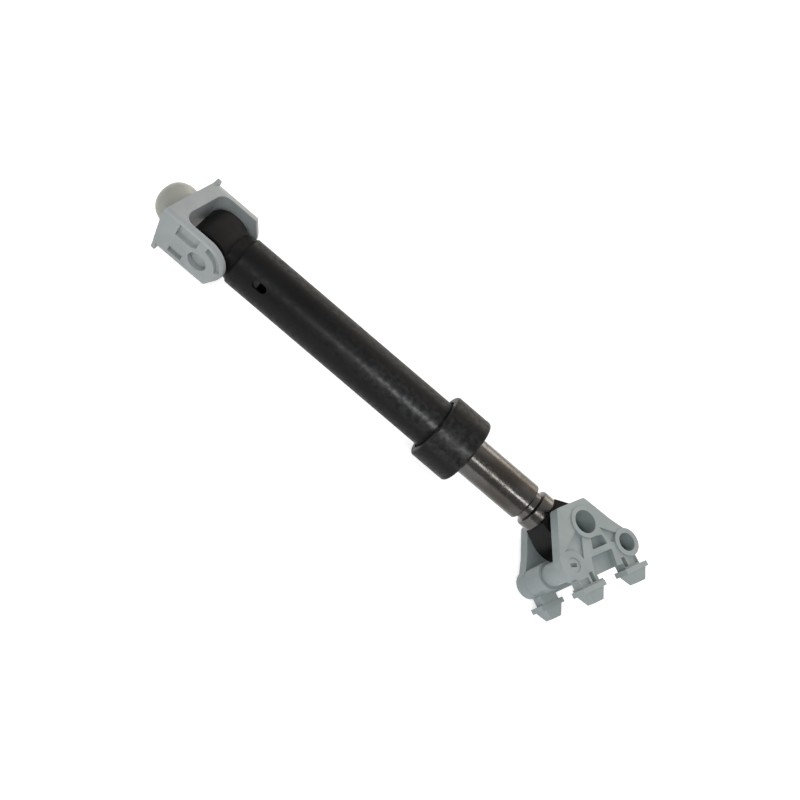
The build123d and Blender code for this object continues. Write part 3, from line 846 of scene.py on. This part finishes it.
def tube_shape(s):
    """Tube with its eye, its vent slot and the flange at its mouth."""
    shoulder = UPPER_X + s.shoulder
    radius = s.outer / 2
    start = MOUTH_X - s.flange_length
    barrel = Shape.turned([(shoulder, 0.0), (shoulder, radius, s.shoulder_round), (start, radius),
                           (start, s.flange), (MOUTH_X, s.flange), (MOUTH_X, 0.0)], 128)
    edge, half = s.eye_edge, s.eye_width / 2
    low = s.eye / 2 - edge
    rims = arc(edge - half, low, edge, 180, 90, 6) + arc(half - edge, low, edge, 90, 0, 6)
    eye = on_pivot(Shape.turned([(-half, 0.0), *rims, (half, 0.0)], 96))
    body = barrel.plus(eye, neck_shape(s))
    floor, past = UPPER_X + s.floor, MOUTH_X + OVER
    bore = Shape.turned([(floor, 0.0), (past, 0.0), (past, s.bore / 2), (floor, s.bore / 2)])
    hole = cross(Shape.column(0.0, 0.0, s.eye_hole / 2, -2 * half, 2 * half), UPPER_X)
    long, wide = s.vent_length / 2, s.vent_width / 2
    ends = arc(long - wide, 0.0, wide, -90, 90, 12) + arc(wide - long, 0.0, wide, 90, 270, 12)
    slot = Shape.prism(ends, s.bore / 2 - OVER, radius + OVER)
    turn = Matrix.Rotation(s.vent_angle - math.pi / 2, 4, "X")
    slot.moved(turn @ Matrix.Translation((UPPER_X + s.vent_place, 0.0, 0.0)))
    return body.minus(bore, hole, slot)


def collar_shape(s):
    """Collar over the mouth of the tube, with a parting line on each side."""
    start, end = s.collar_start, s.collar_start + s.collar_length
    radius, edge = s.collar / 2, s.collar_edge
    seat = start + s.collar_lip
    chamber = radius - s.collar_wall
    hole = s.outer / 2 + SLIDING_FIT
    recess = hole + s.lip_recess
    points = [(start, recess), (start, radius, edge), (end, radius, edge), (end, chamber),
              (seat, chamber), (seat, hole), (start + 1.0, hole), (start + 1.0, recess)]
    seams = []
    for turn in (s.seam_angle, s.seam_angle + math.pi):
        seam = box(start + s.seam_end, end - s.seam_end, -s.seam_width / 2, s.seam_width / 2,
                   radius - s.seam_width, radius + s.seam)
        seams.append(seam.moved(Matrix.Rotation(turn - math.pi / 2, 4, "X")))
    return Shape.turned(points, 128).plus(*seams)


def cap_shape(s):
    """Cap that closes the collar, with a short nose round the rod."""
    start, end = s.cap_start, s.cap_start + s.cap
    outer = s.collar / 2 - s.collar_wall - CLOSE_FIT
    nose = end + s.cap_nose_length
    return Shape.turned([(start, s.cap_hole), (nose, s.cap_hole), (nose, s.cap_nose, 0.4),
                         (end, s.cap_nose), (end, outer, 0.3), (start, outer)])


class DAMPER_OT_cylinder(bpy.types.Operator):
    """Makes the tube, the friction collar and its cap"""
    bl_idname = "damper.cylinder"
    bl_label = "Cylinder"

    def execute(self, context):
        s = sizes_in_mm(context.scene.damper_tube)
        tints = context.scene.damper_colours
        # The last number is the strength of the coat of grease and painted sheen on the upper front side
        skin = black_plastic("black_tube_plastic", tints.black, 0.36, 1.0)
        dark = black_plastic("black_collar_plastic", tints.black, 0.34, 0.7)
        finished(tube_shape(s), "cylinder_tube", "cylinder", "outer_tube", skin, 0.25)
        finished(collar_shape(s), "friction_collar", "cylinder", "collar_housing", dark,
                 0.12)
        finished(cap_shape(s), "collar_cap", "cylinder", "collar_end_cap", dark)
        return {"FINISHED"}


class DAMPER_OT_inner_parts(bpy.types.Operator):
    """Finishes the bush, bump stop, guide and friction stack inside the cylinder"""
    bl_idname = "damper.inner_parts"
    bl_label = "Inner parts"

    def execute(self, context):
        tints = context.scene.damper_colours
        rubber = soft_rubber("black_rubber", tints.rubber)
        foam = greased_foam("greased_foam", tints.foam)
        nylon = moulded_nylon("bearing_nylon", tints.clevis, 0.35)
        for node in ("upper_eye_bush", "bump_stop"):
            coat(node, rubber)
        for node in ("guide_bush", "lining_washer_inner", "lining_washer_outer", "lining_sleeve",
                     "guide_piston"):
            coat(node, nylon)
        coat("friction_lining", foam)
        return {"FINISHED"}


def rod_shape(s):
    """Steel tube with a rolled neck and bead at its outer end."""
    radius, inner = s.outer / 2, s.outer / 2 - s.wall
    tip, edge, round_tip = s.tip, s.neck_edge, s.tip_round
    bead = tip - round_tip - s.bead_flat
    rise = bead - edge - s.neck_slant
    flat = rise - s.neck_flat
    neck = flat - s.neck_slant - edge
    bottom = radius - s.neck_depth
    bore = tip - s.bore_length
    points = [(s.root, inner), (s.root, radius, 0.4)]
    points += arc(neck, radius - edge, edge, 90, 0, 8)
    points += [(flat, bottom, 0.25), (rise, bottom, 0.25)]
    points += arc(bead, radius - edge, edge, 180, 90, 8)
    points += arc(tip - round_tip, radius - round_tip, round_tip, 90, 0, 8)
    points += [(tip, s.bore), (bore, s.bore), (bore - s.bore_cone, inner)]
    return Shape.turned(points, 128)


def rod_end_shape(s):
    """Plastic end with a shank in the rod, a wedge and an eye on the foot's stubs."""
    root = s.tip + END_GAP
    half = s.end_width / 2
    radius = s.end_eye / 2
    start, end, thick = s.tip - s.shank, root + OVERLAP, s.bore - CLOSE_FIT
    shank = Shape.turned([(start, 0.0), (end, 0.0), (end, thick), (start, thick)])
    waist = LOWER_X - radius * math.sin(s.slope)
    wedge = Shape.stack([(rectangle(s.root_height, s.root_width), root),
                         (rectangle(s.end_width, 2 * radius * math.cos(s.slope)), waist)])
    eye = Shape.column(LOWER_X, 0.0, radius, -half, half, 96)
    hole = Shape.column(LOWER_X, 0.0, s.end_hole / 2, -2 * half, 2 * half, 96)
    return shank.plus(along(wedge), eye).minus(hole)


class DAMPER_OT_rod(bpy.types.Operator):
    """Makes the steel rod and its plastic end"""
    bl_idname = "damper.rod"
    bl_label = "Rod"

    def execute(self, context):
        s = sizes_in_mm(context.scene.damper_rod)
        tints = context.scene.damper_colours
        steel = drawn_steel("drawn_steel", tints.steel)
        black = black_plastic("black_end_plastic", tints.black, 0.32)
        finished(rod_shape(s), "steel_rod", "rod", "plunger_rod", steel)
        finished(rod_end_shape(s), "rod_end_eye", "rod", "rod_end", black, s.edge)
        return {"FINISHED"}


def foot_plate(s, low, high):
    """The plate of one half, with the pivot at the centre."""
    side, drop, sole = s.side, s.drop, s.sole
    leg_in = s.leg_place - s.leg_width / 2
    crown = [(-11.4, 10.1, 1.2), (6.2, 10.3, 1.2), (14.9, -3.1, 1.0)]
    flank = [(side + 3.4, 5.2 - drop), (side, -drop)]
    arch = [(leg_in, -drop), (leg_in, -sole), (-leg_in, -sole), (-leg_in, -drop)]
    cheek = [(-side, -drop), (-s.boss / 2 - side, -drop), (-side - 6.1, 4.2 - drop, 1.0)]
    return Shape.prism(crown + flank + arch + cheek, low, high)


def foot_cuts(s, face):
    """The recesses in the front of the plate."""
    side, drop, sole, bar = s.side, s.drop, s.sole, s.bar
    low = s.bar_width - bar
    top = face + s.deep
    pocket = Shape.prism([(-1.2, -7.4, 0.5), (5.7, -7.9, 0.5), (6.4, low, 0.5), (-3.2, low, 0.5)],
                         face - s.deep, top)
    under = -sole - s.boss
    window = Shape.prism([(-6.0, -bar, 0.5), (7.3, -bar, 0.5), (5.6, -sole), (5.6, under), (-9.0, under),
                          (-9.0, -sole)], face - s.deep, top)
    step = Shape.prism([(-6.5, -1.4), (-side - 4.6, 4.5 - drop), (-14.0, -0.6 - drop), (-10.8, 0.2 - drop),
                        (-5.4, -5.0)], face - s.shallow, top)
    valley = Shape.prism([(6.5, -4.6), (15.6, -10.6), (12.2, -13.5), (9.0, -12.6), (7.4, -8.0)],
                         face - s.shallow, top)
    return [pocket, window, step, valley]


def snap_foot(s, x, face):
    """A leg with a hooked flange and a tapered tip."""
    z = s.width / 2 - s.foot_in
    low = s.leg_low + s.hook
    leg = block(x, s.leg_width, -s.leg_low, -s.drop, face - s.leg, face)
    hook = block(x, s.hook_width, -low, -s.leg_low, z - s.hook_depth / 2, z + s.hook_depth / 2)
    tip = Shape.stack([(rectangle(s.taper_width, s.taper_depth), 0.0),
                       (rectangle(s.tip_width, s.tip_depth), s.taper)])
    return [leg, hook, tip.moved(Matrix(((1, 0, 0, x), (0, 0, -1, -low), (0, 1, 0, z), (0, 0, 0, 1))))]


def leg_cuts(s, x, face):
    """A narrow slot and a shallow dish in the front of a leg."""
    inward = -math.copysign(s.slot_shift, x)
    past = face + OVER
    return [block(x + inward, s.slot_width, -s.slot_low, -s.slot_top, face - s.slot_depth, past),
            block(x - inward / 2, s.dish_width, -s.slot_low, -s.dish_top, face - s.dish_depth, past)]


def foot_shape(s):
    """One half of the foot bracket, its outer face towards +Z and the pivot at the centre."""
    outer = s.width / 2
    face = outer - s.proud
    inner = s.gap / 2
    side, drop = s.side, s.drop
    legs = (-s.leg_place, s.leg_place)
    body = foot_plate(s, inner, face).minus(*foot_cuts(s, face))
    ends = [Shape.column(-side, -drop, s.boss / 2, inner, face),
            Shape.column(side, -drop, s.boss / 2, inner, outer),
            Shape.column(0.0, 0.0, s.ring / 2, inner, outer, 96)]
    body = body.plus(*[part for x in legs for part in snap_foot(s, x, face)], *ends)
    body = body.minus(*[part for x in legs for part in leg_cuts(s, x, face)])
    root, past = inner + OVERLAP, outer + OVER
    body = body.plus(Shape.column(0.0, 0.0, s.stub / 2, END_GAP, root, 96),
                     Shape.column(0.0, 0.0, s.stub_collar / 2, s.stub_collar_low, root, 96),
                     Shape.column(-side, -drop, s.socket / 2, END_GAP, root),
                     Shape.column(side, -drop, s.pin_tube / 2, END_GAP, root))
    body = body.minus(Shape.column(0.0, 0.0, s.hollow / 2, END_GAP + s.hollow_floor, past, 96),
                      Shape.column(-side, -drop, s.pin / 2 + SLIDING_FIT, -OVER, past),
                      Shape.column(side, -drop, s.core / 2, s.core_floor, past))
    end = s.pin_recess - face
    pin = Shape.column(side, -drop, s.pin / 2, end, s.core_floor - 0.6)
    key = box(-s.key_length / 2, s.key_length / 2, -s.key_width / 2, s.key_width / 2,
              -s.key_depth, s.key_depth)
    key.moved(Matrix.Translation((side, -drop, end)) @ Matrix.Rotation(s.key_turn, 4, "Z"))
    return body.plus(pin.minus(key))


class DAMPER_OT_foot(bpy.types.Operator):
    """Makes the two like halves of the foot bracket"""
    bl_idname = "damper.foot"
    bl_label = "Foot bracket"

    def execute(self, context):
        s = sizes_in_mm(context.scene.damper_foot)
        nylon = moulded_nylon("grey_nylon", context.scene.damper_colours.foot, 0.4, 0.04)
        half = foot_shape(s)
        swing = s.swing
        across = Vector((math.sin(swing), math.cos(swing), 0.0))
        up = Vector((0.0, 0.0, 1.0)).cross(across)
        seat = Matrix.Translation((LOWER_X, 0.0, 0.0)) @ Matrix((across, up, (0, 0, 1))).transposed().to_4x4()
        rear = half.copy().moved(seat @ Matrix.Rotation(math.pi, 4, "Y"))
        finished(half.moved(seat), "foot_front", "foot", "foot_bracket_front", nylon, s.edge)
        finished(rear, "foot_rear", "foot", "foot_bracket_rear", nylon, s.edge)
        return {"FINISHED"}


def lamp(name, place, size, power, tint):
    """A soft rectangular light that faces the damper."""
    light = bpy.data.lights.new(name, "AREA")
    light.shape = "RECTANGLE"
    light.size, light.size_y = size
    light.energy = power
    light.color = tint
    thing = bpy.data.objects.new(name, light)
    thing.location = place
    thing.rotation_euler = (Vector(LAMP_TARGET) - Vector(place)).to_track_quat("-Z", "Y").to_euler()
    bpy.context.scene.collection.objects.link(thing)


class DAMPER_OT_stage(bpy.types.Operator):
    """Makes the floor, the lights and the camera"""
    bl_idname = "damper.stage"
    bl_label = "Stage"

    def execute(self, context):
        scene = context.scene
        stage = scene.damper_stage
        floor_mesh = bmesh.new()
        bmesh.ops.create_grid(floor_mesh, x_segments=1, y_segments=1, size=FLOOR_HALF)
        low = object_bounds()[0][2]
        bmesh.ops.translate(floor_mesh, verts=floor_mesh.verts, vec=(0.0, 0.0, low))
        mesh = bpy.data.meshes.new("floor")
        floor_mesh.to_mesh(mesh)
        floor_mesh.free()
        mesh.materials.append(pale_floor("pale_paper", stage.floor_lift))
        floor = bpy.data.objects.new("floor", mesh)
        scene.collection.objects.link(floor)
        floor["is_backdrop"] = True

        scene.world = surroundings("surroundings", stage.world)

        lamp("key_strip", KEY_PLACE, KEY_SIZE, stage.key_power, KEY_TINT)
        lamp("warm_back", BACK_PLACE, BACK_SIZE, stage.back_power, BACK_TINT)

        camera = bpy.data.cameras.new("camera")
        camera.sensor_width = CAMERA_SENSOR
        camera.lens = stage.lens / MM
        camera.shift_x, camera.shift_y = CAMERA_SHIFT
        camera.clip_start = CAMERA_START
        eye = bpy.data.objects.new("camera", camera)
        turn = Matrix((CAMERA_RIGHT, -CAMERA_DOWN, -CAMERA_AHEAD)).transposed().to_4x4()
        eye.matrix_world = Matrix.Translation(CAMERA_PLACE) @ turn
        scene.collection.objects.link(eye)
        scene.camera = eye
        scene.view_settings.view_transform = "Standard"
        return {"FINISHED"}


class DAMPER_PT_panel(bpy.types.Panel):
    """Lists the steps that build the damper, with their sizes and colours"""
    bl_idname = "DAMPER_PT_panel"
    bl_label = "Damper"
    bl_space_type = "VIEW_3D"
    bl_region_type = "UI"
    bl_category = "Damper"

    def draw(self, context):
        for label, step, group in PANEL_ROWS:
            column = self.layout.column(align=True)
            column.label(text=label)
            settings = getattr(context.scene, group)
            for item in settings.bl_rna.properties:
                if item.identifier not in ("rna_type", "name"):
                    column.prop(settings, item.identifier)
            for name in step:
                column.operator(name)


PANEL_ROWS = (
    ("Clevis", ("damper.clevis",), "damper_clevis"),
    ("Cylinder", ("damper.cylinder",), "damper_tube"),
    ("Rod", ("damper.rod",), "damper_rod"),
    ("Foot bracket", ("damper.foot",), "damper_foot"),
    ("Colours", ("damper.inner_parts",), "damper_colours"),
    ("Stage", ("damper.stage",), "damper_stage"),
)

GROUPS = {
    "damper_clevis": ClevisSizes,
    "damper_tube": TubeSizes,
    "damper_rod": RodSizes,
    "damper_foot": FootSizes,
    "damper_colours": Colours,
    "damper_stage": StageSettings,
}

CLASSES = (*GROUPS.values(), DAMPER_OT_clevis, DAMPER_OT_cylinder, DAMPER_OT_inner_parts, DAMPER_OT_rod,
           DAMPER_OT_foot, DAMPER_OT_stage, DAMPER_PT_panel)


def register():
    for item in CLASSES:
        bpy.utils.register_class(item)
    for name, group in GROUPS.items():
        setattr(bpy.types.Scene, name, PointerProperty(type=group))


def unregister():
    for name in GROUPS:
        delattr(bpy.types.Scene, name)
    for item in reversed(CLASSES):
        bpy.utils.unregister_class(item)


def main():
    """Builds the whole damper and its stage."""
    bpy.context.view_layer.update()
    register()
    bpy.ops.damper.clevis()
    bpy.ops.damper.cylinder()
    bpy.ops.damper.inner_parts()
    bpy.ops.damper.rod()
    bpy.ops.damper.foot()
    bpy.ops.damper.stage()


if __name__ == "__main__":
    main()
